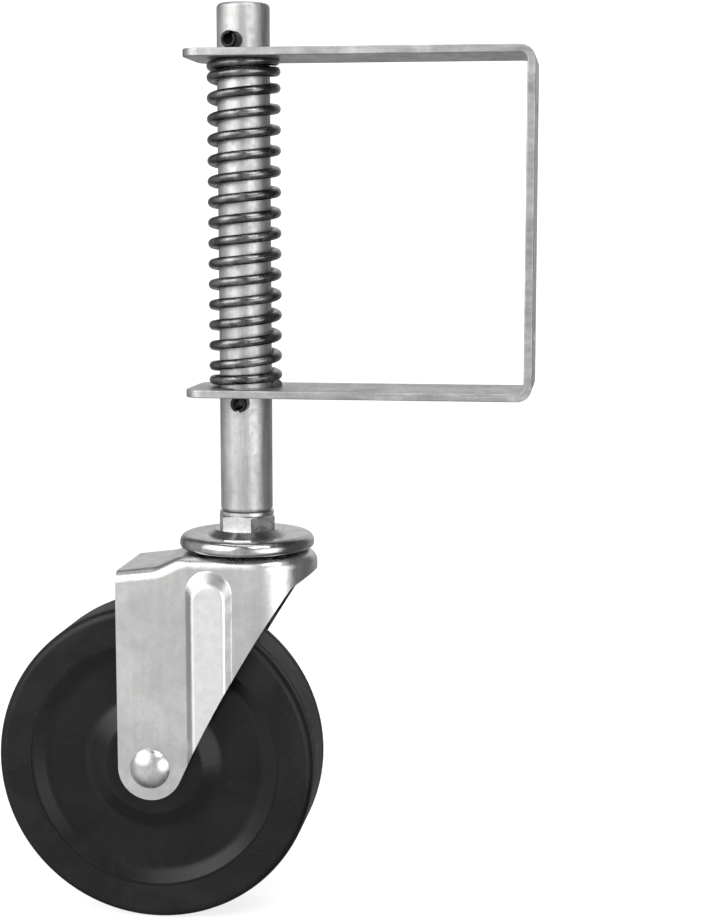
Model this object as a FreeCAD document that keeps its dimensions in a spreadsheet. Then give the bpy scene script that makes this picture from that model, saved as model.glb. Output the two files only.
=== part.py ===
import FreeCAD, Part
import math
import os
import re

import Sketcher

# Gate wheel: a swivel castor on a tube that slides, against a spring, in a C-shaped gate bracket.
# Frame: origin at the middle of the bracket web's outer face, +X from the tube towards the gate,
# +Z up along the tube. All sizes in millimetres.

DIMENSIONS = {
    # bracket, bent from flat bar
    "bar_width": 38.0,
    "bar_thickness": 3.0,
    "bracket_height": 129.0,
    "arm_length": 130.5,
    "bend_inside": 2.5,
    "arm_corner": 7.0,
    "bar_edge": 0.4,
    "gate_hole": 9.0,
    "gate_hole_spacing": 80.0,
    "stem_offset": 110.0,
    "stem_clearance": 0.3,
    "slot_width": 7.4,
    "slot_length": 33.4,
    # sliding tube and its two slotted spring pins
    "tube_radius": 10.0,
    "tube_wall": 2.0,
    "tube_top": 82.0,
    "tube_bottom": -109.5,
    "tube_rounding": 1.6,
    "pin_radius": 3.2,
    "pin_wall": 1.2,
    "pin_length": 32.0,
    "pin_slot": 1.5,
    "pin_bevel": 0.5,
    "pin_hole_gap": 0.05,
    "upper_pin_gap": 0.1,
    "upper_pin_turn": 10.0,
    "lower_pin_entry": 0.7,
    # compression spring
    "wire": 3.75,
    "coil_radius": 12.1,
    "coil_turns": 17.0,
    "closed_pitch": 3.9,
    "closed_turns_low": 0.95,
    "closed_turns_high": 1.2,
    "opening_turns": 0.4,
    "spring_gap": 0.1,
    "ground_depth": 1.4,
    # castor stem
    "insert_flange": 1.2,
    "insert_flange_radius": 10.4,
    "insert_length": 22.0,
    "stud_radius": 6.0,
    "stud_length": 19.0,
    "thread_gap": 0.05,
    "hexagon_flats": 20.0,
    "hexagon_height": 5.8,
    "hexagon_turn": -12.0,
    "kingpin_head": 8.5,
    "kingpin_head_height": 3.0,
    # swivel head
    "cap_radius": 26.0,
    "cap_depth": 6.3,
    "cap_sheet": 2.5,
    "cap_boss": 0.9,
    "cap_boss_radius": 12.3,
    "cap_rounding": 3.2,
    "cap_lower_rounding": 1.7,
    "race_bore": 6.1,
    "upper_ball": 2.5,
    "upper_ball_circle": 19.5,
    "upper_ball_count": 20.0,
    "lower_ball": 2.25,
    "lower_ball_circle": 12.5,
    "lower_ball_count": 14.0,
    "track_depth": 0.45,
    "track_gap": 0.06,
    "lower_race_radius": 16.5,
    "lower_race_height": 2.0,
    "washer_height": 1.5,
    # fork, pressed from sheet
    "sheet": 2.5,
    "fork_half_width": 22.0,
    "crown_top": -124.8,
    "crown_radius": 27.3,
    "ramp_head": -22.5,
    "ramp_slope": 26.0,
    "ramp_drop": 4.2,
    "ramp_rounding": 10.0,
    "rear_slope": 7.2,
    "fork_bend": 4.5,
    "leg_rear": -47.2,
    "leg_round": 12.6,
    "skirt_bottom": -131.8,
    "skirt_corner_x": 19.7,
    "skirt_corner_z": -137.1,
    "skirt_hollow": 550.0,
    "crown_hole": 8.5,
    "rib_x": -11.0,
    "rib_arch": -138.8,
    "rib_crest_arch": -141.8,
    "rib_bottom": -222.0,
    "rib_half_width": 9.0,
    "rib_flank": 3.0,
    "rib_height": 2.2,
    "rib_root": 1.0,
    "rib_rounding": 2.4,
    # axle and wheel
    "trail": 34.6,
    "axle_z": -207.8,
    "axle_radius": 4.0,
    "axle_hole_gap": 0.15,
    "seat_gap": 0.05,
    "axle_head": 7.8,
    "axle_head_height": 3.4,
    "axle_end": 33.0,
    "axle_washer_radius": 8.0,
    "axle_washer_height": 1.5,
    "nut_flats": 13.0,
    "nut_height": 6.5,
    "sleeve_radius": 6.0,
    "sleeve_gap": 0.05,
    "roller_radius": 2.0,
    "roller_circle": 8.06,
    "roller_length": 24.0,
    "roller_count": 8.0,
    "cage_inner": 7.2,
    "cage_outer": 8.9,
    "cage_length": 28.0,
    "hub_bore": 10.15,
    "hub_cap_bore": 6.4,
    "hub_cap_radius": 13.0,
    "hub_cap_depth": 2.6,
    "hub_radius": 19.0,
    "hub_half_width": 17.6,
    "hub_foot": 27.0,
    "hub_foot_fillet": 7.0,
    "hub_rounding": 3.5,
    "dish_half_width": 13.4,
    "dish_edge": 42.8,
    "dish_fillet": 7.0,
    "rim_radius": 49.2,
    "rim_lip": 0.9,
    "rim_half_width": 15.8,
    "wheel_radius": 62.5,
    "wheel_half_width": 16.0,
    "tyre_corner": 3.5,
    "tyre_gap": 0.05,
    "tread_groove_place": 9.5,
    "tread_groove": 0.7,
}

doc = FreeCAD.newDocument("GateWheel")
sheet = doc.addObject("Spreadsheet::Sheet", "Dims")
for row, (alias, size) in enumerate(DIMENSIONS.items(), start=1):
    sheet.set(f"A{row}", alias.replace("_", " "))
    sheet.set(f"B{row}", str(size))
    sheet.setAlias(f"B{row}", alias)
doc.recompute()

SUB_PARTS = []


def bind(text):
    """Turn 'bar_width / 2' into 'Dims.bar_width / 2'."""
    return re.sub(r"[a-z_]+", lambda word: f"Dims.{word[0]}" if word[0] in DIMENSIONS else word[0], text)


def value(text):
    """The number that an expression in sheet aliases has now."""
    return float(sheet.evalExpression(bind(text)))


def bound(item, **expressions):
    """Bind properties of an object to the sheet; a double underscore stands for a dot."""
    for name, text in expressions.items():
        item.setExpression(name.replace("__", "."), bind(text))
    return item


def keep(item, label, x="0", y="0", z="0", turn=None):
    """Finish a sub-part: its label, which names its file, and its place."""
    item.Label = label
    if turn:
        item.Placement = FreeCAD.Placement(FreeCAD.Vector(), turn)
    bound(item, Placement__Base__x=x, Placement__Base__y=y, Placement__Base__z=z)
    SUB_PARTS.append(item)
    return item


# Sketching helpers -------------------------------------------------------------------------------


def new_body(name):
    return doc.addObject("PartDesign::Body", name)


def new_sketch(body, plane, level="0"):
    """A sketch on one of the body's own origin planes, raised along its normal."""
    sketch = body.newObject("Sketcher::SketchObject", f"{body.Name}_outline")
    origin_plane = next(item for item in body.Origin.OriginFeatures if item.Role == plane)
    sketch.AttachmentSupport = [(origin_plane, "")]
    sketch.MapMode = "FlatFace"
    bound(sketch, AttachmentOffset__Base__z=level)
    return sketch


def pin_point(sketch, geometry, position, across, up):
    """Fix a sketch point at two distances from the origin."""
    for kind, axis, text in (("DistanceX", -2, across), ("DistanceY", -1, up)):
        size = value(text)
        if abs(size) < 1e-9:
            sketch.addConstraint(Sketcher.Constraint("PointOnObject", geometry, position, axis))
            continue
        number = sketch.addConstraint(Sketcher.Constraint(kind, -1, 1, geometry, position, size))
        sketch.setExpression(f"Constraints[{number}]", bind(text))


def arc_between(start, end, radius):
    """The short arc from start to end; a positive radius turns left, a negative one right."""
    chord = end - start
    half = chord.Length / 2
    rise = math.sqrt(max(radius * radius - half * half, 0.0))
    left = FreeCAD.Vector(-chord.y, chord.x, 0).normalize()
    centre = (start + end) / 2 + left * (rise if radius > 0 else -rise)
    first, last = (start, end) if radius > 0 else (end, start)
    angles = [math.atan2(point.y - centre.y, point.x - centre.x) for point in (first, last)]
    if angles[1] < angles[0]:
        angles[1] += 2 * math.pi
    circle = Part.Circle(centre, FreeCAD.Vector(0, 0, 1), abs(radius))
    return Part.ArcOfCircle(circle, *angles)


def draw_outline(sketch, corners):
    """A closed outline. A corner is (across, up), or (across, up, radius) if an arc leads to it."""
    points = [FreeCAD.Vector(value(corner[0]), value(corner[1]), 0) for corner in corners]
    first = sketch.GeometryCount
    ends = []
    for number, corner in enumerate(corners):
        start, end = points[number - 1], points[number]
        if len(corner) == 2:
            sketch.addGeometry(Part.LineSegment(start, end), False)
            ends.append((1, 2))
            continue
        radius = value(corner[2])
        arc = sketch.addGeometry(arc_between(start, end, radius), False)
        limit = sketch.addConstraint(Sketcher.Constraint("Radius", arc, abs(radius)))
        sketch.setExpression(f"Constraints[{limit}]", bind(f"abs({corner[2]})"))
        ends.append((1, 2) if radius > 0 else (2, 1))
    for number, corner in enumerate(corners):
        following = (number + 1) % len(corners)
        joint = (first + number, ends[number][1], first + following, ends[following][0])
        sketch.addConstraint(Sketcher.Constraint("Coincident", *joint))
        pin_point(sketch, first + number, ends[number][1], corner[0], corner[1])


def draw_circle(sketch, across, up, radius):
    centre = FreeCAD.Vector(value(across), value(up), 0)
    circle = sketch.addGeometry(Part.Circle(centre, FreeCAD.Vector(0, 0, 1), value(radius)), False)
    limit = sketch.addConstraint(Sketcher.Constraint("Radius", circle, value(radius)))
    sketch.setExpression(f"Constraints[{limit}]", bind(radius))
    pin_point(sketch, circle, 3, across, up)


def pad(body, sketch, length, symmetric=False, downwards=False):
    feature = body.newObject("PartDesign::Pad", f"{body.Name}_pad")
    feature.Profile = sketch
    feature.SideType = "Symmetric" if symmetric else "One side"
    feature.Reversed = downwards
    return bound(feature, Length=length)


def pocket(body, sketch, length, symmetric=False, reverse=False):
    """Cut a sketch out of the body, and make sure that something was cut."""
    doc.recompute()
    before = body.Shape.Volume
    feature = body.newObject("PartDesign::Pocket", f"{body.Name}_pocket")
    feature.Profile = sketch
    feature.SideType = "Symmetric" if symmetric else "One side"
    feature.Reversed = reverse
    bound(feature, Length=length)
    doc.recompute()
    if body.Shape.Volume > before - 1e-3:
        raise RuntimeError(f"a pocket in {body.Name} cuts nothing")
    return feature


def round_edges(body, radius, chosen):
    """Fillet the edges of the body that the test picks."""
    doc.recompute()
    tip = body.Tip
    names = [f"Edge{number}" for number, edge in enumerate(tip.Shape.Edges, start=1) if chosen(edge)]
    if not names:
        raise RuntimeError(f"no edge to round in {body.Name}")
    feature = body.newObject("PartDesign::Fillet", f"{body.Name}_fillet")
    feature.Base = (tip, names)
    return bound(feature, Radius=radius)


def ring_edge(radius, height):
    """A test for the circular edge of this radius at this height about the body's Z axis."""
    def is_it(edge):
        if not isinstance(edge.Curve, Part.Circle):
            return False
        fits_radius = abs(edge.Curve.Radius - value(radius)) < 1e-3
        return fits_radius and abs(edge.Curve.Center.z - value(height)) < 1e-3
    return is_it


def turned(name, corners):
    """A body turned about its own Z axis; the corners are (radius, height)."""
    body = new_body(name)
    sketch = new_sketch(body, "XZ_Plane")
    draw_outline(sketch, corners)
    feature = body.newObject("PartDesign::Revolution", f"{name}_turning")
    feature.Profile = sketch
    feature.ReferenceAxis = (sketch, ["V_Axis"])
    feature.Angle = 360
    return body


def ring(name, inner, outer, low, high):
    return turned(name, [(inner, low), (outer, low), (outer, high), (inner, high)])


def hexagon_corners(flats):
    """Six corners, the first one on the X axis."""
    return [
        (f"{flats} / sqrt(3) * cos({60 * side})", f"{flats} / 2 * {2 / math.sqrt(3)} * sin({60 * side})")
        for side in range(6)
    ]


def cut(name, base, *tools):
    """One solid less one or more others."""
    tool = tools[0]
    if len(tools) > 1:
        tool = doc.addObject("Part::MultiFuse", f"{name}_tools")
        tool.Shapes = list(tools)
    feature = doc.addObject("Part::Cut", name)
    feature.Base = base
    feature.Tool = tool
    return feature


def cylinder(name, radius, height, **place):
    """A Part cylinder; the place is given as x, y and z expressions."""
    feature = doc.addObject("Part::Cylinder", name)
    bound(feature, Radius=radius, Height=height)
    return bound(feature, **{f"Placement__Base__{axis}": text for axis, text in place.items()})


def track(name, circle, ball, height):
    """The torus that a ball row runs in."""
    feature = doc.addObject("Part::Torus", name)
    return bound(feature, Radius1=circle, Radius2=f"{ball} + track_gap", Placement__Base__z=height)


def circle_of(name, make_one, count):
    """A group of equal solids, spaced evenly round the Z axis."""
    group = doc.addObject("Part::Compound", name)
    turns = [f"{360 / value(count)} * {number}" for number in range(round(value(count)))]
    group.Links = [make_one(f"{name}_{number}", turn) for number, turn in enumerate(turns)]
    return group


ALONG_Y = FreeCAD.Rotation(FreeCAD.Vector(1, 0, 0), -90)


# Levels that several parts share -----------------------------------------------------------------

HALF_HEIGHT = "bracket_height / 2"
FLANGE_BOTTOM = "(tube_bottom - insert_flange)"
HEXAGON_BOTTOM = "(tube_bottom - insert_flange - 0.1 - hexagon_height)"
CAP_UNDERSIDE = f"({HEXAGON_BOTTOM} - cap_boss - 0.8 - cap_sheet)"
UPPER_BALL_Z = "(crown_top + upper_ball - track_depth)"
CROWN_UNDERSIDE = "(crown_top - sheet)"
LOWER_BALL_Z = f"({CROWN_UNDERSIDE} - lower_ball + track_depth)"
LOWER_RACE_TOP = f"({LOWER_BALL_Z} - lower_ball + track_depth)"
LOWER_RACE_BOTTOM = f"({LOWER_RACE_TOP} - lower_race_height)"
WASHER_BOTTOM = f"({LOWER_RACE_BOTTOM} - washer_height)"


# Bracket and spring ------------------------------------------------------------------------------


def make_bracket():
    body = new_body("bracket")
    profile = new_sketch(body, "XZ_Plane")
    inner = f"({HALF_HEIGHT} - bar_thickness)"
    draw_outline(profile, [
        ("0", f"-{HALF_HEIGHT}"),
        ("0", HALF_HEIGHT),
        ("-arm_length", HALF_HEIGHT),
        ("-arm_length", inner),
        ("-bar_thickness", inner),
        ("-bar_thickness", f"-{inner}"),
        ("-arm_length", f"-{inner}"),
        ("-arm_length", f"-{HALF_HEIGHT}"),
    ])
    pad(body, profile, "bar_width", symmetric=True)

    def bend_at(x, z):
        def is_it(edge):
            middle = edge.BoundBox.Center
            return abs(middle.x - value(x)) < 0.01 and abs(abs(middle.z) - value(z)) < 0.01
        return is_it

    round_edges(body, "bend_inside", bend_at("-bar_thickness", inner))
    round_edges(body, "bend_inside + bar_thickness", bend_at("0", HALF_HEIGHT))
    round_edges(body, "arm_corner", lambda edge: edge.BoundBox.XMax < value("-arm_length") + 0.01
                and edge.BoundBox.ZLength > 0.1)

    def on_bar_edge(edge):
        box = edge.BoundBox
        along_bar = box.YLength < 0.01 and abs(abs(box.Center.y) - value("bar_width / 2")) < 0.01
        round_end = box.ZLength < 0.01 and box.XMax < value("-arm_length + arm_corner") + 0.01
        return along_bar or round_end

    round_edges(body, "bar_edge", on_bar_edge)

    bores = new_sketch(body, "XY_Plane")
    draw_circle(bores, "-stem_offset", "0", "tube_radius + stem_clearance")
    pocket(body, bores, "bracket_height + 10", symmetric=True)

    # The lower arm's slot lets the lower pin rise through the arm to lift the spring.
    slot = new_sketch(body, "XY_Plane")
    left, right = "-stem_offset - slot_width / 2", "-stem_offset + slot_width / 2"
    draw_outline(slot, [
        (left, "-slot_length / 2"),
        (right, "-slot_length / 2"),
        (right, "slot_length / 2"),
        (left, "slot_length / 2"),
    ])
    pocket(body, slot, "bracket_height")

    gate_holes = new_sketch(body, "YZ_Plane")
    for side in ("", "-"):
        draw_circle(gate_holes, "0", f"{side}gate_hole_spacing / 2", "gate_hole / 2")
    pocket(body, gate_holes, "bar_thickness * 4", symmetric=True)
    return keep(body, "bracket")


def spring_centre_line():
    """A helix whose end turns lie close together and whose middle turns are evenly open."""
    steps_per_turn = 20
    turns = value("coil_turns")
    closed = value("closed_pitch")
    radius = value("coil_radius")
    bottom = value(f"-{HALF_HEIGHT} + bar_thickness + spring_gap + wire / 2 - ground_depth")
    steps = round(turns * steps_per_turn)

    def openness(turn):
        inside = min(turn - value("closed_turns_low"), turns - turn - value("closed_turns_high"))
        reach = min(max(inside / value("opening_turns"), 0.0), 1.0)
        return reach * reach * (3 - 2 * reach)

    open_share = [openness((step + 0.5) / steps_per_turn) for step in range(steps)]
    spare = -2 * bottom - closed * turns
    extra = spare * steps_per_turn / sum(open_share)
    points = []
    height = bottom
    for step in range(steps + 1):
        angle = 2 * math.pi * step / steps_per_turn
        points.append(FreeCAD.Vector(radius * math.cos(angle), radius * math.sin(angle), height))
        if step < steps:
            height += (closed + extra * open_share[step]) / steps_per_turn
    curve = Part.BSplineCurve()
    curve.interpolate(points)
    return curve


def make_spring():
    """The wire swept along its centre line, with both ends ground flat."""
    curve = spring_centre_line()
    path = Part.Wire([curve.toShape()])
    start = curve.value(curve.FirstParameter)
    direction = curve.tangent(curve.FirstParameter)[0]
    section = Part.Wire([Part.Circle(start, direction, value("wire / 2")).toShape()])
    coil = path.makePipeShell([section], True, True)
    half = value(f"{HALF_HEIGHT} - bar_thickness - spring_gap")
    span = Part.makeCylinder(value("coil_radius + wire"), 2 * half, FreeCAD.Vector(0, 0, -half))
    spring = doc.addObject("Part::Feature", "compression_spring")
    spring.Shape = coil.common(span).Solids[0]
    return keep(spring, "compression_spring", x="-stem_offset")


# Sliding tube and what is fixed to it ------------------------------------------------------------

UPPER_PIN_Z = f"({HALF_HEIGHT} + upper_pin_gap + pin_radius)"
LOWER_PIN_Z = f"(-{HALF_HEIGHT} + lower_pin_entry - pin_radius)"


def turn_along_y(about_z=0.0):
    """The rotation that lays a Z axis along Y, then turns it about Z."""
    return FreeCAD.Rotation(FreeCAD.Vector(0, 0, 1), about_z) * ALONG_Y


def make_tube():
    body = ring("stem_tube_blank", "tube_radius - tube_wall", "tube_radius", "tube_bottom", "tube_top")
    round_edges(body, "tube_rounding", ring_edge("tube_radius", "tube_top"))
    round_edges(body, "tube_rounding", ring_edge("tube_radius", "tube_bottom"))
    drills = []
    for name, height, turn in (("upper", UPPER_PIN_Z, "upper_pin_turn"), ("lower", LOWER_PIN_Z, "0")):
        drill = cylinder(f"{name}_drill", "pin_radius + pin_hole_gap", "tube_radius * 3")
        rotation = turn_along_y(-value(turn))
        middle = FreeCAD.Vector(0, 0, value("tube_radius * 3") / 2)
        drill.Placement = FreeCAD.Placement(FreeCAD.Vector(0, 0, value(height)) - rotation * middle, rotation)
        drills.append(drill)
    tube = cut("stem_tube", body, *drills)
    return keep(tube, "stem_tube", x="-stem_offset")


def make_spring_pin(label, height, about_z, slot_turn):
    """A rolled pin with bevelled ends, split along its length."""
    half = "pin_length / 2"
    inner = "pin_radius - pin_wall"
    blank = turned(f"{label}_blank", [
        (inner, f"-{half}"),
        ("pin_radius - pin_bevel", f"-{half}"),
        ("pin_radius", f"-{half} + pin_bevel * 2"),
        ("pin_radius", f"{half} - pin_bevel * 2"),
        ("pin_radius - pin_bevel", half),
        (inner, half),
    ])
    split = doc.addObject("Part::Box", f"{label}_split")
    bound(split, Length="pin_radius * 2", Width="pin_slot", Height="pin_length + 2")
    spin = FreeCAD.Rotation(FreeCAD.Vector(0, 0, 1), slot_turn)
    corner = spin * FreeCAD.Vector(0, -value("pin_slot") / 2, -value("pin_length") / 2 - 1)
    split.Placement = FreeCAD.Placement(corner, spin)
    pin = cut(label, blank, split)
    return keep(pin, label, x="-stem_offset", z=height, turn=turn_along_y(about_z))


def make_insert():
    """The threaded plug in the tube's lower end; its flange shows under the tube."""
    top = "tube_bottom + insert_length"
    body = turned("tube_insert", [
        ("stud_radius", FLANGE_BOTTOM),
        ("insert_flange_radius", FLANGE_BOTTOM),
        ("insert_flange_radius", "tube_bottom"),
        ("tube_radius - tube_wall - thread_gap", "tube_bottom"),
        ("tube_radius - tube_wall - thread_gap", top),
        ("stud_radius", top),
    ])
    return keep(body, "tube_insert", x="-stem_offset")


def make_caster_stem():
    """Threaded stud, hexagon and kingpin in one piece, with the kingpin's end peened over."""
    stud = "stud_radius - thread_gap"
    stud_top = f"{FLANGE_BOTTOM} - 0.1 + stud_length"
    body = turned("caster_stem", [
        ("0", f"{WASHER_BOTTOM} - kingpin_head_height"),
        ("kingpin_head * 0.6", f"{WASHER_BOTTOM} - kingpin_head_height"),
        ("kingpin_head", f"{WASHER_BOTTOM} - kingpin_head_height * 0.4"),
        ("kingpin_head", WASHER_BOTTOM),
        ("stud_radius", WASHER_BOTTOM),
        ("stud_radius", HEXAGON_BOTTOM),
        (stud, f"{HEXAGON_BOTTOM} + 0.5"),
        (stud, f"{stud_top} - 1"),
        (f"{stud} - 1", stud_top),
        ("0", stud_top),
    ])
    outline = new_sketch(body, "XY_Plane", level=HEXAGON_BOTTOM)
    draw_outline(outline, hexagon_corners("hexagon_flats"))
    pad(body, outline, "hexagon_height")
    bevel_hexagon(body, "hexagon_flats", f"{HEXAGON_BOTTOM} + hexagon_height", 1)
    turn = FreeCAD.Rotation(FreeCAD.Vector(0, 0, 1), value("hexagon_turn"))
    return keep(body, "caster_stem", x="-stem_offset", turn=turn)


def bevel_hexagon(body, flats, level, side):
    """Turn the corners off one end of a hexagon; side is 1 at its top and -1 at its bottom."""
    sketch = new_sketch(body, "XZ_Plane")
    outside = f"{flats} * 0.62"
    draw_outline(sketch, [
        (f"{flats} / 2", level),
        (outside, f"{level} - {side} * {flats} * 0.06"),
        (outside, f"{level} + {side} * 0.2"),
        (f"{flats} / 2", f"{level} + {side} * 0.2"),
    ])
    groove = body.newObject("PartDesign::Groove", f"{body.Name}_bevel")
    groove.Profile = sketch
    groove.ReferenceAxis = (sketch, ["V_Axis"])
    groove.Angle = 360


# Swivel head -------------------------------------------------------------------------------------


def make_race_cap():
    """The domed upper race: a boss under the hexagon, a shallow dish and a rolled skirt."""
    top = f"({HEXAGON_BOTTOM} - cap_boss)"
    bottom = f"({top} - cap_depth)"
    skirt_inside = "cap_radius - cap_sheet + 0.5"
    body = turned("race_cap_blank", [
        ("race_bore", CAP_UNDERSIDE),
        (skirt_inside, CAP_UNDERSIDE),
        (skirt_inside, bottom),
        ("cap_radius", bottom),
        ("cap_radius", f"{top} - 1.1"),
        ("cap_radius * 0.8", f"{top} - 0.6"),
        ("cap_boss_radius + 3", f"{top} - 1.3"),
        ("cap_boss_radius", HEXAGON_BOTTOM),
        ("race_bore", HEXAGON_BOTTOM),
    ])
    round_edges(body, "cap_rounding", ring_edge("cap_radius", f"{top} - 1.1"))
    round_edges(body, "cap_lower_rounding", ring_edge("cap_radius", bottom))
    groove = track("race_cap_track", "upper_ball_circle", "upper_ball", UPPER_BALL_Z)
    cap = cut("race_cap", body, groove)
    return keep(cap, "race_cap", x="-stem_offset")


def make_lower_race():
    body = ring("lower_race_blank", "race_bore", "lower_race_radius", LOWER_RACE_BOTTOM, LOWER_RACE_TOP)
    round_edges(body, "0.6", ring_edge("lower_race_radius", LOWER_RACE_BOTTOM))
    groove = track("lower_race_track", "lower_ball_circle", "lower_ball", LOWER_BALL_Z)
    return keep(cut("lower_race", body, groove), "lower_race", x="-stem_offset")


def make_kingpin_washer():
    body = ring("kingpin_washer", "race_bore", "kingpin_head + 2", WASHER_BOTTOM, LOWER_RACE_BOTTOM)
    return keep(body, "kingpin_washer", x="-stem_offset")


def make_balls(label, ball, circle, count, height):
    def one_ball(name, turn):
        sphere = doc.addObject("Part::Sphere", name)
        across, along = f"{circle} * cos({turn})", f"{circle} * sin({turn})"
        return bound(sphere, Radius=ball, Placement__Base__x=across, Placement__Base__y=along)

    return keep(circle_of(label, one_ball, count), label, x="-stem_offset", z=height)


# Fork --------------------------------------------------------------------------------------------


def fork_block(name, inset, rear):
    """The fork's outer form or, with an inset, the hollow under it, without its ribs.

    Straight sides and a round front; a crown that ramps down to a rear part with a gentle slope.
    """
    body = new_body(name)
    plan = new_sketch(body, "XY_Plane", level=f"crown_top - {inset}")
    side = f"(fork_half_width - {inset})"
    front = "crown_radius - fork_half_width"
    draw_outline(plan, [
        (rear, f"-{side}"),
        (front, f"-{side}"),
        (f"{front} + {side}", "0", side),
        (front, side, side),
        (rear, side),
    ])
    pad(body, plan, "110", downwards=True)

    head_x = f"(ramp_head + {inset} * tan(ramp_slope / 2))"
    head_z = f"(crown_top - {inset})"
    mitre = f"{inset} / cos((ramp_slope - rear_slope) / 2)"
    foot_x = f"(ramp_head - ramp_drop / tan(ramp_slope) + {mitre} * sin((ramp_slope + rear_slope) / 2))"
    foot_z = f"(crown_top - ramp_drop - {mitre} * cos((ramp_slope + rear_slope) / 2))"
    rear_z = f"({foot_z} - ({foot_x} - ({rear})) * tan(rear_slope))"
    above = new_sketch(body, "XZ_Plane")
    draw_outline(above, [
        (rear, rear_z),
        (foot_x, foot_z),
        (head_x, head_z),
        (head_x, "crown_top + 5"),
        (rear, "crown_top + 5"),
    ])
    pocket(body, above, "fork_half_width * 3", symmetric=True)

    def across_at(x, z):
        def is_it(edge):
            box = edge.BoundBox
            there = max(abs(box.Center.x - value(x)), abs(box.Center.z - value(z))) < 0.01
            return there and box.YLength > value("fork_half_width")
        return is_it

    round_edges(body, f"ramp_rounding + {inset}", across_at(foot_x, foot_z))
    round_edges(body, f"ramp_rounding - {inset}", across_at(head_x, head_z))

    def on_top_rim(edge):
        box = edge.BoundBox
        on_side = abs(abs(box.Center.y) - value(side)) < 0.01 and box.YLength < 0.01 and box.XLength > 0.5
        on_front = abs(box.ZMin - value(head_z)) < 0.01 and box.XMax > value(front) + 0.1
        return (on_side and box.ZMin > value(rear_z) - 0.01) or on_front

    round_edges(body, f"fork_bend - {inset}", on_top_rim)
    return body


def add_ribs(body, inset):
    """A swaged rib down each side of a fork block: arched at its top, with sloping flanks."""
    deep = "(1 + rib_root / rib_height)"
    crest_half = f"(rib_half_width - rib_flank - {inset} * 0.4)"
    root_half = f"({crest_half} + rib_flank * {deep})"
    root_arch = f"(rib_crest_arch + (rib_arch - rib_crest_arch) * {deep})"
    crest_level = f"(fork_half_width + rib_height - {inset})"
    root_level = f"({crest_level} - rib_height - rib_root)"
    root = (root_level, root_half, root_arch)
    crest = (crest_level, crest_half, "rib_crest_arch")
    for side in (1, -1):
        sections = []
        for level, half, arch in (root, crest):
            outline = new_sketch(body, "XZ_Plane", level=f"{side} * {level}")
            draw_outline(outline, [
                (f"rib_x - {half}", "rib_bottom"),
                (f"rib_x + {half}", "rib_bottom"),
                (f"rib_x + {half}", arch),
                ("rib_x", f"{arch} + {half}", half),
                (f"rib_x - {half}", arch, half),
            ])
            sections.append(outline)
        loft = body.newObject("PartDesign::AdditiveLoft", f"{body.Name}_rib")
        loft.Profile = sections[0]
        loft.Sections = [sections[1]]
        loft.Ruled = True
        doc.recompute()
        crest_y = -side * value(crest_level)

        def on_crest(edge):
            box = edge.BoundBox
            level_with_crest = max(abs(box.YMin - crest_y), abs(box.YMax - crest_y)) < 0.01
            return level_with_crest and box.ZMax > value("rib_bottom") + 1

        round_edges(body, f"rib_rounding - {inset} * 0.5", on_crest)
    return body


def leg_profile():
    """The fork's outline from the side, as a block right across it.

    The sloping edge is hollow and runs smoothly into the round at the leg's foot.
    """
    centre_x = value("leg_rear + leg_round")
    centre_z = value("axle_z")
    corner = FreeCAD.Vector(value("skirt_corner_x") - centre_x, value("skirt_corner_z") - centre_z, 0)
    foot, hollow = value("leg_round"), value("skirt_hollow")
    reach = (corner.Length ** 2 + foot ** 2 + 2 * foot * hollow) / (2 * corner.Length * (foot + hollow))
    leaning = math.atan2(corner.y, corner.x) - math.acos(reach)
    touch_x = f"leg_rear + leg_round + leg_round * {math.cos(leaning)}"
    touch_z = f"axle_z + leg_round * {math.sin(leaning)}"
    body = new_body("fork_side")
    outline = new_sketch(body, "XZ_Plane")
    draw_outline(outline, [
        ("leg_rear", "crown_top + 10"),
        ("leg_rear", "axle_z"),
        ("leg_rear + leg_round", "axle_z - leg_round", "leg_round"),
        (touch_x, touch_z, "leg_round"),
        ("skirt_corner_x", "skirt_corner_z", "-skirt_hollow"),
        ("crown_radius + 0.2", "skirt_bottom"),
        ("crown_radius + 5", "skirt_bottom"),
        ("crown_radius + 5", "crown_top + 10"),
    ])
    pad(body, outline, "fork_half_width * 3", symmetric=True)
    return body


def make_fork():
    outside = add_ribs(fork_block("fork_outside", "0", "leg_rear"), "0")
    hollow = add_ribs(fork_block("fork_hollow", "sheet", "leg_rear - 20"), "sheet")
    shell = cut("fork_shell", outside, hollow)
    trimmed = doc.addObject("Part::Common", "fork_trimmed")
    trimmed.Base = shell
    trimmed.Tool = leg_profile()
    axle_hole = cylinder("fork_axle_hole", "axle_radius + axle_hole_gap", "fork_half_width * 3")
    axle_hole.Placement.Rotation = ALONG_Y
    bound(axle_hole, Placement__Base__x="leg_rear + leg_round", Placement__Base__z="axle_z")
    bound(axle_hole, Placement__Base__y="-fork_half_width * 1.5")
    crown_hole = cylinder("fork_crown_hole", "crown_hole", "20", z="crown_top - 10")
    tracks = [
        track("fork_upper_track", "upper_ball_circle", "upper_ball", UPPER_BALL_Z),
        track("fork_lower_track", "lower_ball_circle", "lower_ball", LOWER_BALL_Z),
    ]
    fork = cut("fork", trimmed, axle_hole, crown_hole, *tracks)
    return keep(fork, "fork", x="-stem_offset")


# Axle, bearing and wheel; each is turned about Z, then laid along Y ---------------------------------


def keep_on_axle(item, label):
    return keep(item, label, x="-stem_offset - trail", z="axle_z", turn=ALONG_Y)


def make_axle_bolt():
    head = "(fork_half_width + seat_gap)"
    body = turned("axle_bolt", [
        ("0", f"-{head} - axle_head_height"),
        ("axle_head", f"-{head} - 0.5", "(axle_head^2 + axle_head_height^2) / (2 * axle_head_height)"),
        ("axle_head", f"-{head}"),
        ("axle_radius", f"-{head}"),
        ("axle_radius", "axle_end - 0.8"),
        ("axle_radius - 0.8", "axle_end"),
        ("0", "axle_end"),
    ])
    return keep_on_axle(body, "axle_bolt")


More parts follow.
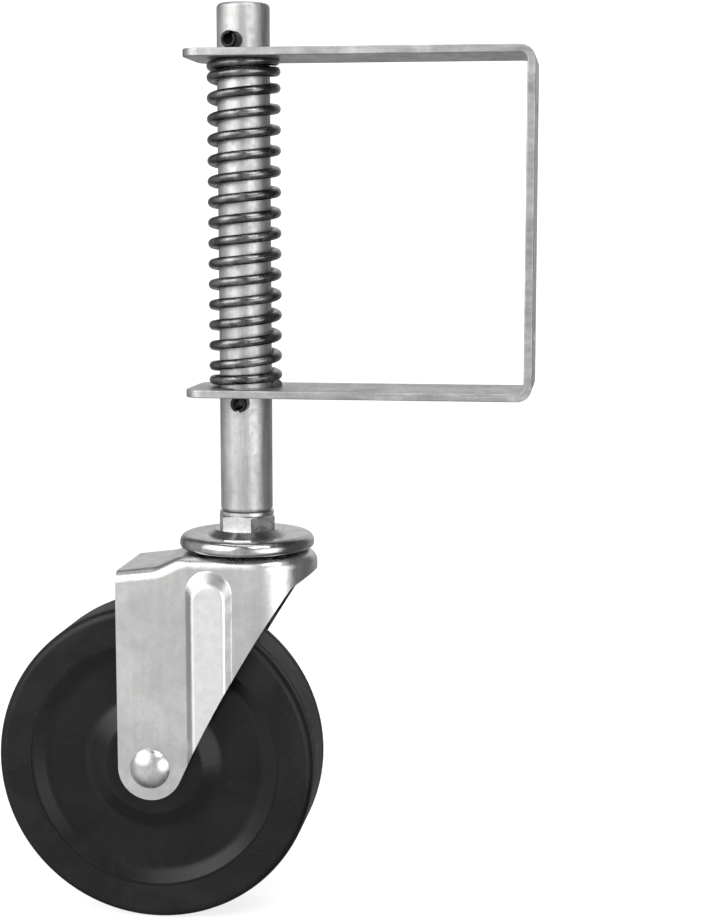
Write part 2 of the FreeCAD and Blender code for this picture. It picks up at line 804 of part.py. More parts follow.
def make_axle_washer():
    low = "fork_half_width + seat_gap"
    body = ring("axle_washer", "axle_radius + 0.2", "axle_washer_radius", low, f"{low} + axle_washer_height")
    return keep_on_axle(body, "axle_washer")


def make_axle_nut():
    low = "fork_half_width + seat_gap * 2 + axle_washer_height"
    body = new_body("axle_nut")
    outline = new_sketch(body, "XY_Plane", level=low)
    draw_outline(outline, hexagon_corners("nut_flats"))
    draw_circle(outline, "0", "0", "axle_radius + thread_gap")
    pad(body, outline, "nut_height")
    bevel_hexagon(body, "nut_flats", f"{low} + nut_height", 1)
    return keep_on_axle(body, "axle_nut")


def make_axle_sleeve():
    half = "fork_half_width - sheet - sleeve_gap"
    body = ring("axle_sleeve", "axle_radius + 0.15", "sleeve_radius", f"-({half})", half)
    return keep_on_axle(body, "axle_sleeve")


def make_rollers():
    def one_roller(name, turn):
        across, along = f"roller_circle * cos({turn})", f"roller_circle * sin({turn})"
        return cylinder(name, "roller_radius", "roller_length", x=across, y=along, z="-roller_length / 2")

    return keep_on_axle(circle_of("bearing_rollers", one_roller, "roller_count"), "bearing_rollers")


def make_roller_cage():
    blank = ring("roller_cage_blank", "cage_inner", "cage_outer", "-cage_length / 2", "cage_length / 2")

    def one_window(name, turn):
        across, along = f"roller_circle * cos({turn})", f"roller_circle * sin({turn})"
        length = "roller_length + 0.4"
        return cylinder(name, "roller_radius + 0.15", length, x=across, y=along, z=f"-({length}) / 2")

    windows = circle_of("roller_cage_windows", one_window, "roller_count")
    return keep_on_axle(cut("roller_cage", blank, windows), "roller_cage")


def make_hub_caps():
    """Two rings that close the hub, one at each face."""
    outer, inner = "hub_cap_radius - tyre_gap", "hub_cap_bore"
    high, low = "hub_half_width - 0.2", "hub_half_width - hub_cap_depth + tyre_gap"
    caps = doc.addObject("Part::Compound", "hub_caps")
    caps.Links = [
        ring("hub_cap_far", inner, outer, low, high),
        ring("hub_cap_near", inner, outer, f"-({high})", f"-({low})"),
    ]
    return keep_on_axle(caps, "hub_caps")


def make_wheel_rim():
    """The moulded wheel centre: a hub, a dished web and a seat for the tyre."""
    near_to_far = []
    for sign in ("-", ""):
        half = [
            ("hub_bore", f"{sign}(hub_half_width - hub_cap_depth)"),
            ("hub_cap_radius", f"{sign}(hub_half_width - hub_cap_depth)"),
            ("hub_cap_radius", f"{sign}hub_half_width"),
            ("hub_radius", f"{sign}hub_half_width"),
            ("hub_foot", f"{sign}dish_half_width"),
            ("dish_edge", f"{sign}dish_half_width"),
            ("rim_radius - rim_lip", f"{sign}rim_half_width"),
            ("rim_radius", f"{sign}rim_half_width"),
        ]
        near_to_far += half if sign else half[::-1]
    body = turned("wheel_rim", near_to_far)
    for face in ("-", ""):
        round_edges(body, "hub_foot_fillet", ring_edge("hub_foot", f"{face}dish_half_width"))
        round_edges(body, "hub_rounding", ring_edge("hub_radius", f"{face}hub_half_width"))
        round_edges(body, "dish_fillet", ring_edge("dish_edge", f"{face}dish_half_width"))
    return keep_on_axle(body, "wheel_rim")


def make_tyre():
    """A solid tyre with rounded shoulders and one narrow groove near each edge of its tread."""
    bore, outside, half = "rim_radius + tyre_gap", "wheel_radius", "wheel_half_width"
    place, groove = "tread_groove_place", "tread_groove"
    body = turned("tyre", [
        (bore, f"-{half}"),
        (outside, f"-{half}"),
        (outside, f"-{place} - {groove}"),
        (f"{outside} - {groove}", f"-{place}"),
        (outside, f"-{place} + {groove}"),
        (outside, f"{place} - {groove}"),
        (f"{outside} - {groove}", place),
        (outside, f"{place} + {groove}"),
        (outside, half),
        (bore, half),
    ])
    for face in ("-", ""):
        round_edges(body, "tyre_corner", ring_edge(outside, f"{face}{half}"))
    return keep_on_axle(body, "tyre")


make_bracket()
make_spring()
make_tube()
make_spring_pin("upper_stop_pin", UPPER_PIN_Z, -value("upper_pin_turn"), -60)
make_spring_pin("lower_seat_pin", LOWER_PIN_Z, 0.0, 100)
make_insert()
make_caster_stem()
make_race_cap()
make_lower_race()
make_kingpin_washer()
make_balls("upper_balls", "upper_ball", "upper_ball_circle", "upper_ball_count", UPPER_BALL_Z)
make_balls("lower_balls", "lower_ball", "lower_ball_circle", "lower_ball_count", LOWER_BALL_Z)
make_fork()
make_axle_bolt()
make_axle_washer()
make_axle_nut()
make_axle_sleeve()
make_wheel_rim()
make_tyre()
make_roller_cage()
make_rollers()
make_hub_caps()
doc.recompute()

for item in doc.Objects:
    if {"Invalid", "Error"} & set(item.State):
        raise RuntimeError(f"{item.Name} is {item.State}")
for item in SUB_PARTS:
    if item.Shape.isNull() or not item.Shape.isValid() or not item.Shape.Solids:
        raise RuntimeError(f"{item.Label} has no valid solid")

os.makedirs("parts", exist_ok=True)
for item in SUB_PARTS:
    item.Shape.exportStep(f"parts/{item.Label}.step")
    print(f"{item.Label}: {len(item.Shape.Solids)} solid(s), {item.Shape.Volume:.0f} mm3")
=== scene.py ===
import math

import bmesh
import bpy
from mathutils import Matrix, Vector


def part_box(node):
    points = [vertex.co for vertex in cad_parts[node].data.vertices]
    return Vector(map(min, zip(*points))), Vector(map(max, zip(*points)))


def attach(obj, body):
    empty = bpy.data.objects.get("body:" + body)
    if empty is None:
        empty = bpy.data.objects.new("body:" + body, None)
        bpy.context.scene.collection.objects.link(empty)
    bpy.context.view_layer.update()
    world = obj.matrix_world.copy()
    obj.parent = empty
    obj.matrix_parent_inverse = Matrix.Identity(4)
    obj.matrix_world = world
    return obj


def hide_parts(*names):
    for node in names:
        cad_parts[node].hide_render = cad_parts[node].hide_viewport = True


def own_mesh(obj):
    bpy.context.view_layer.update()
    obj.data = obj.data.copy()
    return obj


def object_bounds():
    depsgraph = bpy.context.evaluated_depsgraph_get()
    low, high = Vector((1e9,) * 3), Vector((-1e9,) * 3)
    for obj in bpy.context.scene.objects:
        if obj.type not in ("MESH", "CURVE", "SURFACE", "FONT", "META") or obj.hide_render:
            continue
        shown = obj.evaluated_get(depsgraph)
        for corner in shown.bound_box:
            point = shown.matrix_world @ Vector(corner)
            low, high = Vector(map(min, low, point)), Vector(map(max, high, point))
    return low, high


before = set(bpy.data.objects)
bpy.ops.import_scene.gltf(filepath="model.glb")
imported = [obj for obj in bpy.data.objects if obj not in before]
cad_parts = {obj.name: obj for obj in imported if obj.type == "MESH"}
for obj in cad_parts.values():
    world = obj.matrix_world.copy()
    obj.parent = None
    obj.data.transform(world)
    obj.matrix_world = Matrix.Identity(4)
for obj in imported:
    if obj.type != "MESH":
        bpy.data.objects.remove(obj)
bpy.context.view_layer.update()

MM = 0.001


# Node-building helpers ---------------------------------------------------------------------------


class Nodes:
    """A node tree being built, with one set of coordinates as its base."""

    def __init__(self, tree, coordinates):
        self.tree = tree
        self.coordinates = tree.nodes.new("ShaderNodeTexCoord").outputs[coordinates]

    def node(self, kind, **settings):
        made = self.tree.nodes.new(kind)
        for name, setting in settings.items():
            setattr(made, name, setting)
        return made

    def link(self, output, target):
        self.tree.links.new(output, target)

    def feed(self, target, source):
        if hasattr(source, "links"):
            self.link(source, target)
        else:
            target.default_value = source

    def math(self, operation, first, second=0.0, clamp=False):
        made = self.node("ShaderNodeMath", operation=operation, use_clamp=clamp)
        for socket, source in zip(made.inputs, (first, second)):
            self.feed(socket, source)
        return made.outputs["Value"]

    def stretched(self, scale, shift=(0.0, 0.0, 0.0)):
        """Object coordinates in metres, scaled unevenly: a small number stretches the pattern."""
        made = self.node("ShaderNodeMapping")
        made.inputs["Scale"].default_value = scale
        made.inputs["Location"].default_value = shift
        self.link(self.coordinates, made.inputs["Vector"])
        return made.outputs["Vector"]

    def noise(self, scale, detail=4.0, roughness=0.5, vector=None, distortion=0.0):
        made = self.node("ShaderNodeTexNoise")
        made.inputs["Scale"].default_value = scale
        made.inputs["Detail"].default_value = detail
        made.inputs["Roughness"].default_value = roughness
        made.inputs["Distortion"].default_value = distortion
        self.link(vector or self.coordinates, made.inputs["Vector"])
        return made.outputs["Fac"]

    def spots(self, scale, vector=None):
        made = self.node("ShaderNodeTexVoronoi")
        made.inputs["Scale"].default_value = scale
        self.link(vector or self.coordinates, made.inputs["Vector"])
        return made.outputs["Distance"]

    def levels(self, source, low, high, to_low=0.0, to_high=1.0):
        """The source's range from low to high, spread smoothly over another range."""
        made = self.node("ShaderNodeMapRange", interpolation_type="SMOOTHSTEP")
        ends = {"From Min": low, "From Max": high, "To Min": to_low, "To Max": to_high}
        for name, number in ends.items():
            made.inputs[name].default_value = number
        self.feed(made.inputs["Value"], source)
        return made.outputs["Result"]

    def mix(self, amount, first, second, blend="MIX"):
        made = self.node("ShaderNodeMix", data_type="RGBA", blend_type=blend)
        colours = [socket for socket in made.inputs if socket.type == "RGBA"]
        self.feed(made.inputs[0], amount)
        for socket, source in zip(colours, (first, second)):
            self.feed(socket, (*source, 1.0) if isinstance(source, tuple) else source)
        return next(socket for socket in made.outputs if socket.type == "RGBA")

    def along(self, direction):
        """How far the coordinates reach in one direction."""
        made = self.node("ShaderNodeVectorMath", operation="DOT_PRODUCT")
        self.link(self.coordinates, made.inputs[0])
        made.inputs[1].default_value = direction
        return made.outputs["Value"]

    def axis(self, name):
        made = self.node("ShaderNodeSeparateXYZ")
        self.link(self.coordinates, made.inputs["Vector"])
        return made.outputs[name]


class Shader(Nodes):
    """A material being built from nodes."""

    def __init__(self, name):
        self.material = bpy.data.materials.new(name)
        self.material.use_nodes = True
        super().__init__(self.material.node_tree, "Object")
        self.surface = self.tree.nodes["Principled BSDF"]

    def bump(self, layers):
        """Stack bump layers of (height, distance in metres, strength)."""
        below = None
        for height, distance, strength in layers:
            made = self.node("ShaderNodeBump")
            made.inputs["Distance"].default_value = distance
            made.inputs["Strength"].default_value = strength
            self.link(height, made.inputs["Height"])
            if below:
                self.link(below, made.inputs["Normal"])
            below = made.outputs["Normal"]
        self.link(below, self.surface.inputs["Normal"])

    def axle_distance(self, axle_x, axle_z):
        """How far a point lies from the axle's line."""
        across = self.math("SUBTRACT", self.axis("X"), axle_x)
        up = self.math("SUBTRACT", self.axis("Z"), axle_z)
        across_squared = self.math("MULTIPLY", across, across)
        up_squared = self.math("MULTIPLY", up, up)
        return self.math("SQRT", self.math("ADD", across_squared, up_squared))

    def finish(self, colour, roughness, metallic):
        self.feed(self.surface.inputs["Base Color"], colour)
        self.feed(self.surface.inputs["Roughness"], roughness)
        self.surface.inputs["Metallic"].default_value = metallic
        return self.material


def gray(level, warmth=0.0):
    return (level * (1 + warmth), level, level * (1 - warmth))


# Materials ---------------------------------------------------------------------------------------

# The plating's warm tint, and how grinding lines are stretched.
ZINC_WARMTH = 0.008
GRINDING_GRAIN = (40, 40, 900)
# How far from the XZ plane the fork's ribs rise from its legs, in metres.
RIB_FOOT = 0.0222
# Specular level of the two black materials, and their turned rings in radians per metre of radius.
BLACK_GLOSS = 0.28
TYRE_RINGS = 5200.0
WHEEL_RINGS = 3400.0


def zinc_plate(name, light, dark, roughness, grain, mottle, specks, seed, drawn=0.35, proud=None):
    """Zinc-plated steel: cloudy plating, fine drawn lines and small dark specks.

    With proud, rib flanks from that distance off the XZ plane get painted shade, and the crest 2 mm
    further a painted highlight.
    """
    shader = Shader(name)
    shift = (seed, seed * 1.7, seed * 2.3)
    clouds = shader.noise(mottle, 5, 0.6, shader.stretched((1, 1, 1), shift), distortion=0.4)
    fine_clouds = shader.noise(mottle * 6, 4, 0.6, shader.stretched((1, 1, 1), shift))
    lines = shader.noise(9, 3, 0.65, shader.stretched(grain, shift))
    crystals = shader.spots(1500, shader.stretched((1, 1, 1), shift))
    speck_field = shader.noise(900, 2, 0.6, shader.stretched((1, 1, 1), shift))
    speck_zone = shader.levels(clouds, 0.45, 0.65)
    speck_mask = shader.levels(speck_field, 0.70, 0.76)
    speck = shader.math("MULTIPLY", speck_mask, shader.math("MULTIPLY", speck_zone, specks))
    tone = shader.levels(clouds, 0.32, 0.7)
    colour = shader.mix(tone, gray(dark, ZINC_WARMTH), gray(light, ZINC_WARMTH))
    line_tone = shader.levels(lines, 0.35, 0.65, 1 - drawn * 0.35, 1.0 + drawn * 0.1)
    line_gray = shader.mix(line_tone, gray(0.0), gray(1.0))
    colour = shader.mix(1.0, colour, line_gray, "MULTIPLY")
    clouded = shader.levels(fine_clouds, 0.42, 0.70, 0.0, 0.40)
    colour = shader.mix(clouded, colour, gray(dark * 0.75, ZINC_WARMTH))
    if proud:
        distance = shader.math("ADD", shader.math("ABSOLUTE", shader.axis("Y")),
                               shader.levels(fine_clouds, 0.2, 0.8, -0.00006, 0.00006))
        # Painted shade: the rib flanks, from the foot to near the crest, are mixed towards a darker
        # grey.
        painted_flank_shade_start = shader.levels(distance, proud - 0.00012, proud + 0.0002, 0.0, 0.55)
        painted_flank_shade_end = shader.levels(distance, proud + 0.0013, proud + 0.0020, 1.0, 0.0)
        colour = shader.mix(shader.math("MULTIPLY", painted_flank_shade_start, painted_flank_shade_end), colour, gray(dark * 0.42))
        # Painted highlight: the rib's flat crest is mixed towards a brighter grey.
        wear_and_painted_highlight = shader.levels(distance, proud + 0.0014, proud + 0.0020, 0.0, 0.9)
        colour = shader.mix(wear_and_painted_highlight, colour, gray(min(light * 1.3, 0.98)))
    colour = shader.mix(speck, colour, gray(0.05, 0.02))
    rough = shader.levels(fine_clouds, 0.25, 0.75, roughness - 0.06, roughness + 0.09)
    rough = shader.math("ADD", rough, shader.levels(lines, 0.35, 0.65, -drawn * 0.1, drawn * 0.14))
    rough = shader.math("ADD", rough, shader.math("MULTIPLY", speck, 0.3), clamp=True)
    shader.bump([
        (clouds, 0.0004, 0.10),
        (lines, 0.00006, 0.18),
        (crystals, 0.00005, 0.16),
        (speck_field, 0.00004, 0.12),
    ])
    return shader.finish(colour, rough, 1.0)


def dark_steel(name, light, dark, rub, roughness, seed):
    """Oil-tempered or blackened steel: blue-black scale with rubbed bright patches and fine pits."""
    shader = Shader(name)
    shift = (seed, seed * 1.3, seed * 2.1)
    clouds = shader.noise(140, 5, 0.6, shader.stretched((1, 1, 1), shift), distortion=0.5)
    wear_and_painted_highlight = shader.noise(420, 4, 0.7, shader.stretched((1, 1, 1.6), shift))
    pits = shader.noise(2600, 3, 0.6)
    colour = shader.mix(shader.levels(clouds, 0.35, 0.65), gray(dark), gray(light, 0.01))
    colour = shader.mix(shader.levels(wear_and_painted_highlight, 0.60, 0.74, 0.0, 0.6), colour, gray(rub, 0.012))
    colour = shader.mix(shader.levels(pits, 0.62, 0.74, 0.0, 0.7), colour, gray(dark * 0.3))
    rough = shader.levels(clouds, 0.3, 0.7, roughness - 0.07, roughness + 0.1)
    rough = shader.math("ADD", rough, shader.levels(pits, 0.35, 0.7, -0.04, 0.1), clamp=True)
    shader.bump([(clouds, 0.0003, 0.12), (wear_and_painted_highlight, 0.00008, 0.25), (pits, 0.00004, 0.35)])
    return shader.finish(colour, rough, 1.0)


def ground_steel(name, level, roughness, grease):
    """Hardened and ground bearing steel: tight grinding lines under a film of old grease."""
    shader = Shader(name)
    grinding = shader.noise(7, 3, 0.7, shader.stretched(GRINDING_GRAIN))
    film = shader.noise(260, 4, 0.6)
    colour = shader.mix(shader.levels(grinding, 0.3, 0.7), gray(level * 0.78), gray(level))
    covered = shader.levels(film, 0.6 - grease * 0.5, 0.8 - grease * 0.3, 0.0, 0.4 + grease * 0.5)
    colour = shader.mix(covered, colour, (0.030, 0.026, 0.020))
    rough = shader.levels(grinding, 0.3, 0.7, roughness - 0.05, roughness + 0.08)
    rough = shader.math("ADD", rough, shader.levels(film, 0.5, 0.8, 0.0, 0.2), clamp=True)
    shader.bump([(grinding, 0.00003, 0.3), (film, 0.00005, 0.2)])
    return shader.finish(colour, rough, 1.0)


def moulded_plastic(name, colour_low, colour_high, roughness):
    """Injection-moulded plastic: spark-eroded grain, flow marks, dust and fine scuffs."""
    shader = Shader(name)
    grain = shader.noise(1500, 3, 0.6)
    flow_marks = shader.noise(32, 4, 0.6, distortion=1.2)
    scuffs = shader.noise(14, 3, 0.75, shader.stretched((90, 8, 14), (0.3, 0.1, 0.7)))
    dust = shader.noise(650, 5, 0.75)
    colour = shader.mix(shader.levels(flow_marks, 0.35, 0.65), colour_low, colour_high)
    colour = shader.mix(shader.levels(scuffs, 0.66, 0.78, 0.0, 0.25), colour, gray(0.22))
    colour = shader.mix(shader.levels(dust, 0.62, 0.8, 0.0, 0.2), colour, gray(0.3, 0.02))
    rough = shader.levels(flow_marks, 0.3, 0.7, roughness - 0.05, roughness + 0.06)
    rough = shader.math("ADD", rough, shader.levels(grain, 0.35, 0.7, -0.03, 0.06))
    rough = shader.math("ADD", rough, shader.levels(scuffs, 0.64, 0.78, 0.0, 0.15), clamp=True)
    shader.bump([(flow_marks, 0.0003, 0.06), (grain, 0.00004, 0.3), (scuffs, 0.00003, 0.15)])
    return shader.finish(colour, rough, 0.0)


def tyre_rubber(name, axle_x, axle_z, half_width):
    """Black tyre rubber: moulding rings on the sides, a matt scuffed tread, grit in its grain."""
    shader = Shader(name)
    radius = shader.axle_distance(axle_x, axle_z)
    side = shader.math("DIVIDE", shader.math("ABSOLUTE", shader.axis("Y")), half_width)
    tread = shader.levels(side, 0.93, 0.80)
    grain = shader.noise(1100, 4, 0.65)
    blotches = shader.noise(55, 5, 0.6, distortion=0.6)
    grit = shader.spots(700)
    rings = shader.math("SINE", shader.math("MULTIPLY", radius, TYRE_RINGS))
    scuffs = shader.noise(10, 4, 0.75, shader.stretched((22, 130, 22)))
    colour = shader.mix(shader.levels(blotches, 0.35, 0.68), gray(0.004), gray(0.009, 0.01))
    worn = shader.math("MULTIPLY", tread, shader.levels(scuffs, 0.42, 0.7, 0.05, 0.5))
    colour = shader.mix(worn, colour, gray(0.05, 0.015))
    dusty = shader.math("MULTIPLY", shader.levels(grain, 0.55, 0.75), 0.06)
    colour = shader.mix(dusty, colour, gray(0.2, 0.03))
    rough = shader.levels(blotches, 0.3, 0.7, 0.34, 0.44)
    rough = shader.math("ADD", rough, shader.math("MULTIPLY", tread, 0.12))
    rough = shader.math("ADD", rough, shader.levels(grain, 0.3, 0.7, -0.04, 0.06), clamp=True)
    side_rings = shader.math("MULTIPLY", rings, shader.math("SUBTRACT", 1.0, tread))
    shader.bump([
        (blotches, 0.0003, 0.08),
        (side_rings, 0.00002, 0.10),
        (grain, 0.00007, 0.30),
        (grit, 0.00005, 0.15),
    ])
    shader.surface.inputs["Specular IOR Level"].default_value = BLACK_GLOSS
    return shader.finish(colour, rough, 0.0)


def wheel_plastic(name, axle_x, axle_z):
    """The wheel centre's black plastic: satin, with faint turned rings and a dusty dish."""
    shader = Shader(name)
    radius = shader.axle_distance(axle_x, axle_z)
    wobble = shader.noise(30, 3, 0.5)
    ring_phase = shader.math("MULTIPLY", radius, WHEEL_RINGS)
    rings = shader.math("SINE", shader.math("ADD", ring_phase, shader.math("MULTIPLY", wobble, 5.0)))
    grain = shader.noise(1300, 3, 0.6)
    clouds = shader.noise(38, 5, 0.62, distortion=0.8)
    scuffs = shader.noise(12, 3, 0.75, shader.stretched((60, 10, 16), (0.2, 0.5, 0.9)))
    colour = shader.mix(shader.levels(clouds, 0.35, 0.68), gray(0.003), gray(0.007, 0.005))
    colour = shader.mix(shader.levels(scuffs, 0.66, 0.8, 0.0, 0.08), colour, gray(0.12))
    colour = shader.mix(shader.levels(grain, 0.6, 0.78, 0.0, 0.05), colour, gray(0.15, 0.02))
    rough = shader.levels(clouds, 0.3, 0.7, 0.23, 0.31)
    rough = shader.math("ADD", rough, shader.levels(grain, 0.35, 0.7, -0.03, 0.05), clamp=True)
    shader.bump([(clouds, 0.0003, 0.06), (rings, 0.00001, 0.08), (grain, 0.00005, 0.25)])
    shader.surface.inputs["Specular IOR Level"].default_value = BLACK_GLOSS
    return shader.finish(colour, rough, 0.0)


def paint(node, material):
    """Give a carried-over CAD node its material."""
    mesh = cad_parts[node].data
    mesh.materials.clear()
    mesh.materials.append(material)


axle_low, axle_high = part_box("axle_sleeve")
axle_centre = (axle_low + axle_high) / 2
tyre_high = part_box("tyre")[1]

bracket_zinc = zinc_plate("bracket_zinc", 0.64, 0.40, 0.38,
                          grain=(9, 60, 60), mottle=55, specks=0.9, seed=0.2)
tube_zinc = zinc_plate("tube_zinc", 0.65, 0.50, 0.45,
                       grain=(70, 70, 5), mottle=60, specks=0.5, seed=0.6)
fitting_zinc = zinc_plate("fitting_zinc", 0.72, 0.55, 0.30,
                          grain=(40, 40, 40), mottle=110, specks=0.7, seed=1.1)
head_zinc = zinc_plate("head_zinc", 0.63, 0.40, 0.16,
                       grain=(30, 30, 12), mottle=60, specks=0.3, seed=1.7)
# The fork's plating carries painted shade on its rib flanks and a painted highlight on their crest.
fork_zinc = zinc_plate("fork_zinc", 0.78, 0.61, 0.28,
                       grain=(40, 40, 5), mottle=45, specks=0.3, seed=2.4, drawn=0.12, proud=RIB_FOOT)
axle_zinc = zinc_plate("axle_zinc", 0.74, 0.58, 0.27,
                       grain=(40, 40, 40), mottle=140, specks=0.4, seed=3.1)
spring_steel = dark_steel("spring_steel", 0.26, 0.10, 0.50, 0.20, seed=0.4)
pin_steel = dark_steel("pin_steel", 0.04, 0.018, 0.10, 0.38, seed=1.9)
bearing_steel = ground_steel("bearing_steel", 0.62, 0.22, 0.2)
greased_balls = ground_steel("greased_balls", 0.40, 0.26, 1.0)
wheel_black = wheel_plastic("wheel_plastic", axle_centre.x, axle_centre.z)
tyre_black = tyre_rubber("tyre_rubber", axle_centre.x, axle_centre.z, tyre_high.y)
cage_plastic = moulded_plastic("cage_plastic", (0.62, 0.58, 0.46), (0.70, 0.66, 0.55), 0.42)
cap_plastic = moulded_plastic("cap_plastic", gray(0.02), gray(0.035), 0.38)

NODE_MATERIALS = {
    "bracket": bracket_zinc,
    "stem_tube": tube_zinc,
    "upper_stop_pin": pin_steel,
    "lower_seat_pin": pin_steel,
    "tube_insert": fitting_zinc,
    "caster_stem": fitting_zinc,
    "race_cap": head_zinc,
    "lower_race": fitting_zinc,
    "kingpin_washer": fitting_zinc,
    "upper_balls": greased_balls,
    "lower_balls": greased_balls,
    "fork": fork_zinc,
    "axle_bolt": axle_zinc,
    "axle_washer": fitting_zinc,
    "axle_nut": fitting_zinc,
    "axle_sleeve": bearing_steel,
    "wheel_rim": wheel_black,
    "tyre": tyre_black,
    "roller_cage": cage_plastic,
    "bearing_rollers": bearing_steel,
    "hub_caps": cap_plastic,
}
for node_name, node_material in NODE_MATERIALS.items():
    paint(node_name, node_material)


# The spring: the CAD wire's own helix, as a finer swept mesh ---

COIL_TURNS = 17
CLOSED_PITCH = 3.9 * MM
CLOSED_TURNS_LOW = 0.95
CLOSED_TURNS_HIGH = 1.2
OPENING_TURNS = 0.4
WIRE_RADIUS = 1.875 * MM
GROUND_DEPTH = 1.4 * MM
STEPS_PER_TURN = 48
WIRE_CORNERS = 20


def coil_points(centre, radius, low, high, steps_per_turn):
    """Points down the middle of the wire: close end turns, evenly open turns between them."""
    bottom = low + WIRE_RADIUS - GROUND_DEPTH
    top = high - WIRE_RADIUS + GROUND_DEPTH
    steps = COIL_TURNS * steps_per_turn

    def openness(turn):
        inside = min(turn - CLOSED_TURNS_LOW, COIL_TURNS - turn - CLOSED_TURNS_HIGH)
        reach = min(max(inside / OPENING_TURNS, 0.0), 1.0)
        return reach * reach * (3 - 2 * reach)

    shares = [openness((step + 0.5) / steps_per_turn) for step in range(steps)]
    extra = (top - bottom - CLOSED_PITCH * COIL_TURNS) * steps_per_turn / sum(shares)
    points = []
    height = bottom
    for step in range(steps + 1):
        angle = 2 * math.pi * step / steps_per_turn
        points.append(Vector((
            centre.x + radius * math.cos(angle),
            centre.y + radius * math.sin(angle),
            height,
        )))
        if step < steps:
            height += (CLOSED_PITCH + extra * shares[step]) / steps_per_turn
    return points


def build_spring():
    low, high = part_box("compression_spring")
    centre = (low + high) / 2
    radius = (high.x - low.x) / 2 - WIRE_RADIUS
    points = coil_points(centre, radius, low.z, high.z, STEPS_PER_TURN)
    mesh = bmesh.new()
    rings = []
    for number, point in enumerate(points):
        before, after = points[max(number - 1, 0)], points[min(number + 1, len(points) - 1)]
        along = (after - before).normalized()
        outward = Vector((point.x - centre.x, point.y - centre.y, 0)).normalized()
        upward = along.cross(outward).normalized()
        ring = []
        for corner in range(WIRE_CORNERS):
            angle = 2 * math.pi * corner / WIRE_CORNERS
            place = point + (outward * math.cos(angle) + upward * math.sin(angle)) * WIRE_RADIUS
            place.z = min(max(place.z, low.z), high.z)
            ring.append(mesh.verts.new(place))
        rings.append(ring)
    for first, second in zip(rings, rings[1:]):
        for corner in range(WIRE_CORNERS):
            following = (corner + 1) % WIRE_CORNERS
            mesh.faces.new((first[corner], first[following], second[following], second[corner]))
    for ring in (rings[0], rings[-1]):
        mesh.faces.new(ring)
    bmesh.ops.recalc_face_normals(mesh, faces=mesh.faces)
    data = bpy.data.meshes.new("spring_coil")
    mesh.to_mesh(data)
    mesh.free()
    for face in data.polygons:
        face.use_smooth = len(face.vertices) == 4
    data.materials.append(spring_steel)
    coil = bpy.data.objects.new("spring_coil", data)
    bpy.context.scene.collection.objects.link(coil)
    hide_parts("compression_spring")
    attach(coil, "bracket")
    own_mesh(coil)


build_spring()


# Floor, light and camera -------------------------------------------------------------------------

# The stage, in metres.
FLOOR_GAP = 0.0002
FLOOR_RADIUS = 1.7
BEND = 0.5
WALL_TOP = 3.0
STAGE_CORNERS = 96
BEND_STEPS = 12
PAPER_GLOW = 0.80
AMBIENT = 0.13
# Soft bright areas around the object: direction, degrees to their full and their last light, level.
GLOWS = [
    ((-0.10, -0.95, -0.30), 20, 75, 0.54),
    ((-0.90, -0.35, 0.10), 20, 65, 0.42),
    ((0.74, -0.67, 0.05), 14, 30, 2.10),
    ((-0.60, -0.62, 0.50), 8, 22, 1.80),
    ((0.00, 0.90, 0.45), 12, 40, 0.40),
    ((0.00, 0.95, -0.20), 25, 58, 0.26),
]
# Area lights, all turned towards one point: name, place, width, height, power.
LIT_POINT = (-0.1, 0.0, -0.1)
LIGHTS = [
    ("key_left", (-0.95, -0.90, 0.55), 1.5, 1.4, 11.0),
    ("key_right", (0.40, -0.66, 0.85), 0.6, 0.5, 5.0),
    ("overhead", (-0.05, 0.05, 1.10), 1.0, 1.0, 4.0),
]

# The photo's camera: place, direction and focal length on a 36 mm wide sensor.
CAMERA_PLACE = (0.0232, -0.6894, 0.0027)
CAMERA_LOOK = (-0.1294, 0.9828, -0.1321)
CAMERA_LENS = 71.36


def stage_material():
    """White paper that glows a little, as an evenly lit studio sweep does."""
    shader = Shader("studio_floor")
    paper = shader.noise(300, 4, 0.6)
    colour = shader.mix(shader.levels(paper, 0.3, 0.7), gray(0.42), gray(0.46))
    shader.bump([(paper, 0.0001, 0.05)])
    shader.surface.inputs["Emission Color"].default_value = (1.0, 1.0, 1.0, 1.0)
    shader.surface.inputs["Emission Strength"].default_value = PAPER_GLOW
    return shader.finish(colour, 0.9, 0.0)


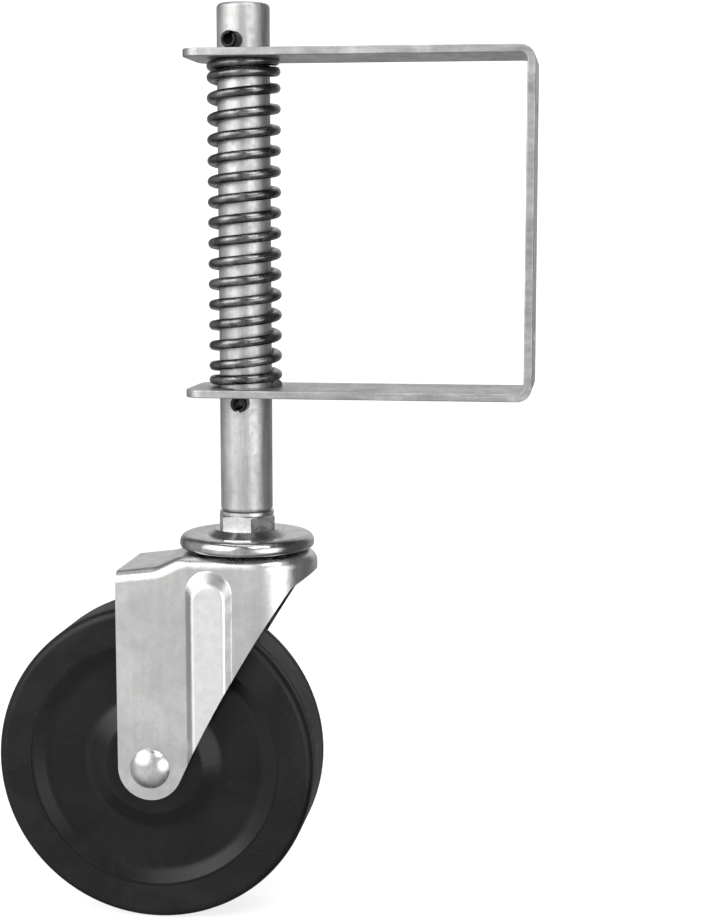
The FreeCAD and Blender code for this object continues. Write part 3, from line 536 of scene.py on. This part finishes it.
def build_stage():
    """A round floor that bends up into a wall on every side, with the object at its middle."""
    low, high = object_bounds()
    floor_z = low.z - FLOOR_GAP
    centre = (low + high) / 2
    mesh = bmesh.new()
    middle = mesh.verts.new((centre.x, centre.y, floor_z))
    profile = [(FLOOR_RADIUS, 0.0)]
    for step in range(1, BEND_STEPS + 1):
        angle = math.pi / 2 * step / BEND_STEPS
        profile.append((FLOOR_RADIUS + BEND * math.sin(angle), BEND * (1 - math.cos(angle))))
    profile.append((FLOOR_RADIUS + BEND, WALL_TOP))
    rings = []
    for radius, z in profile:
        ring = []
        for corner in range(STAGE_CORNERS):
            angle = 2 * math.pi * corner / STAGE_CORNERS
            ring.append(mesh.verts.new((centre.x + radius * math.cos(angle),
                                        centre.y + radius * math.sin(angle), floor_z + z)))
        rings.append(ring)
    for corner in range(STAGE_CORNERS):
        following = (corner + 1) % STAGE_CORNERS
        mesh.faces.new((middle, rings[0][corner], rings[0][following]))
        for inner, outer in zip(rings, rings[1:]):
            mesh.faces.new((inner[corner], outer[corner], outer[following], inner[following]))
    data = bpy.data.meshes.new("studio_sweep")
    mesh.to_mesh(data)
    mesh.free()
    for face in data.polygons:
        face.use_smooth = True
    data.materials.append(stage_material())
    sweep = bpy.data.objects.new("studio_sweep", data)
    bpy.context.scene.collection.objects.link(sweep)
    for ray in ("glossy", "diffuse", "shadow"):
        setattr(sweep, f"visible_{ray}", False)


def area_light(name, place, target, width, height, power):
    data = bpy.data.lights.new(name, "AREA")
    data.shape = "RECTANGLE"
    data.size = width
    data.size_y = height
    data.energy = power
    light = bpy.data.objects.new(name, data)
    light.location = place
    light.rotation_euler = (Vector(target) - Vector(place)).to_track_quat("-Z", "Y").to_euler()
    light.visible_camera = False
    bpy.context.scene.collection.objects.link(light)


def build_world():
    """Soft surroundings: bright in front, left and right of the front, and dimmer behind."""
    world = bpy.data.worlds.new("studio")
    world.use_nodes = True
    nodes = Nodes(world.node_tree, "Generated")
    level = AMBIENT
    for direction, full, last, gain in GLOWS:
        facing = nodes.along(Vector(direction).normalized())
        edge = math.cos(math.radians(last))
        glow = nodes.levels(facing, edge, math.cos(math.radians(full)), 0.0, gain)
        level = nodes.math("ADD", glow, level)
    background = world.node_tree.nodes["Background"]
    background.inputs["Color"].default_value = (1.0, 1.0, 1.0, 1.0)
    nodes.link(level, background.inputs["Strength"])
    bpy.context.scene.world = world


def build_lights():
    for name, place, width, height, power in LIGHTS:
        area_light(name, place, LIT_POINT, width, height, power)


def build_camera():
    data = bpy.data.cameras.new("camera")
    data.sensor_width = 36.0
    data.lens = CAMERA_LENS
    data.clip_start = 0.01
    camera = bpy.data.objects.new("camera", data)
    camera.location = CAMERA_PLACE
    camera.rotation_euler = Vector(CAMERA_LOOK).to_track_quat("-Z", "Y").to_euler()
    bpy.context.scene.collection.objects.link(camera)
    bpy.context.scene.camera = camera


build_stage()
build_world()
build_lights()
build_camera()
bpy.context.scene.view_settings.view_transform = "Standard"
